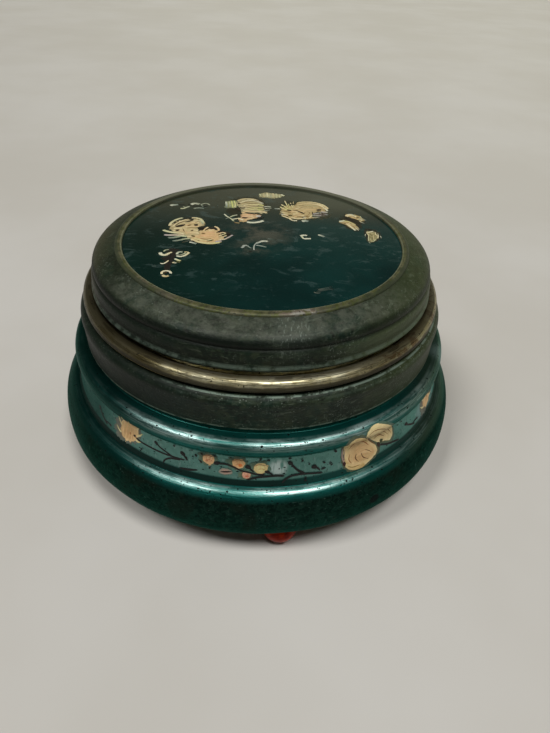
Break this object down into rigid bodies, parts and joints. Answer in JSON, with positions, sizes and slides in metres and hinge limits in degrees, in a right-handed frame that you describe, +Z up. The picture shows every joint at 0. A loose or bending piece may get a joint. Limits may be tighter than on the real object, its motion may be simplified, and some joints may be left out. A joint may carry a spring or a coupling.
{
  "type": "musical powder box",
  "caption": "Round two-tier metal powder box with a lift-off mirror lid, a brass collar, ball feet, a glass bowl and a wind-up comb movement.",
  "frame": {"origin": "middle of the box at the level of the table under its feet", "axes": "+Z up along the box axis, -Y towards the front as pictured, +X to the right"},
  "size_m": [0.1383, 0.1382, 0.0715],
  "materials": {
    "olive_lacquer": "matte dark olive lacquer, pitted and speckled",
    "teal_anodising": "satin teal colour over spun metal, with fine scratches",
    "dark_enamel": "glossy dark teal enamel, scuffed",
    "worn_gilt": "worn dull gilt",
    "aged_brass": "aged brass, bright on the roll",
    "brass": "plain brass",
    "silvered_glass": "silvered mirror",
    "clear_glass": "clear pressed glass",
    "card": "plain brown card",
    "bare_aluminium": "spun, satin",
    "red_gloss": "glossy orange-red",
    "plated_steel": "dull plated sheet",
    "steel": "turned and plated",
    "polished_steel": "ground",
    "blued_steel": "blued",
    "grey_iron": "cast, silver painted",
    "felt": "red felt"
  },
  "bodies": {
    "case": {"powder_pan": "bare_aluminium", "brass_collar": "aged_brass", "upper_shell": "olive_lacquer", "lower_shell": "teal_anodising", "base_plate": "plated_steel", "base_screws": "steel", "ball_feet": "red_gloss", "foot_studs": "steel", "foot_nuts": "steel", "bedplate": "grey_iron", "movement_screws": "steel", "spring_housing": "brass", "housing_screws": "steel", "mainspring": "blued_steel", "comb": "polished_steel", "comb_screws": "steel", "left_bracket": "brass", "right_bracket": "brass", "bracket_screws": "steel", "governor_plate": "brass", "governor_screws": "steel", "worm_cock": "brass", "cock_screw": "steel", "stop_bracket": "brass", "stop_screws": "steel", "lever_pin": "steel", "rod_bush": "brass", "rod_spring": "blued_steel"},
    "bowl": {"powder_bowl": "clear_glass"},
    "lid": {"lid_shell": "olive_lacquer", "top_plate": "dark_enamel", "gilt_ring": "worn_gilt", "mirror_card": "card", "mirror_glass": "silvered_glass", "mirror_bezel": "brass"},
    "great_wheel": {"great_wheel": "brass", "clutch_spring": "blued_steel"},
    "winder": {"winding_arbor": "steel", "winding_key": "brass"},
    "cylinder": {"tune_cylinder": "brass", "cylinder_arbor": "steel", "cylinder_pinion": "brass", "cylinder_wheel": "brass"},
    "first_shaft": {"first_pinion": "steel", "first_wheel": "brass"},
    "second_shaft": {"second_pinion": "steel", "worm_wheel": "brass"},
    "governor": {"worm": "steel", "fly": "bare_aluminium"},
    "stop_lever": {"stop_lever": "polished_steel", "brake_pad": "felt"},
    "stop_rod": {"stop_rod": "polished_steel", "rod_collar": "steel"}
  },
  "joints": [
    {"name": "bowl_lift", "type": "slide", "parent": "case", "child": "bowl", "axis": [0, 0, 1], "range_m": [0, 0.035]},
    {"name": "lid_lift", "type": "slide", "parent": "bowl", "child": "lid", "axis": [0, 0, 1], "range_m": [0, 0.06]},
    {"name": "rod_rise", "type": "slide", "parent": "case", "child": "stop_rod", "axis": [0, 0, 1], "range_m": [0, 0.0026], "deforming": ["rod_spring"]},
    {"name": "lever_tilt", "type": "hinge", "parent": "case", "child": "stop_lever", "pos_m": [0.03648, 0.02019, 0.02559], "axis": [0, -1, 0], "range_deg": [0, 15]},
    {"name": "cylinder_turn", "type": "hinge", "parent": "case", "child": "cylinder", "pos_m": [-0.0031, 0, 0.02535], "axis": [1, 0, 0], "continuous": true},
    {"name": "great_wheel_turn", "type": "hinge", "parent": "case", "child": "great_wheel", "pos_m": [-0.02, 0, 0.0194], "axis": [0, 0, 1], "continuous": true},
    {"name": "winding", "type": "hinge", "parent": "great_wheel", "child": "winder", "pos_m": [-0.02, 0, 0.0194], "axis": [0, 0, 1], "continuous": true},
    {"name": "first_shaft_turn", "type": "hinge", "parent": "case", "child": "first_shaft", "pos_m": [0.0215, 0.00823, 0.0206], "axis": [1, 0, 0], "continuous": true},
    {"name": "second_shaft_turn", "type": "hinge", "parent": "case", "child": "second_shaft", "pos_m": [0.0242, 0.01424, 0.02279], "axis": [1, 0, 0], "continuous": true},
    {"name": "governor_spin", "type": "hinge", "parent": "case", "child": "governor", "pos_m": [0.0249, 0.01869, 0.01949], "axis": [0, 0, 1], "continuous": true}
  ],
  "couplings": [
    {"joint": "rod_rise", "follows": "lid_lift", "ratio": 0.041667},
    {"joint": "lever_tilt", "follows": "lid_lift", "rad_per_m": 4.1667},
    {"joint": "great_wheel_turn", "follows": "cylinder_turn", "ratio": 0.33333},
    {"joint": "first_shaft_turn", "follows": "cylinder_turn", "ratio": -2.8},
    {"joint": "second_shaft_turn", "follows": "cylinder_turn", "ratio": 8.4},
    {"joint": "governor_spin", "follows": "cylinder_turn", "ratio": -42}
  ]
}
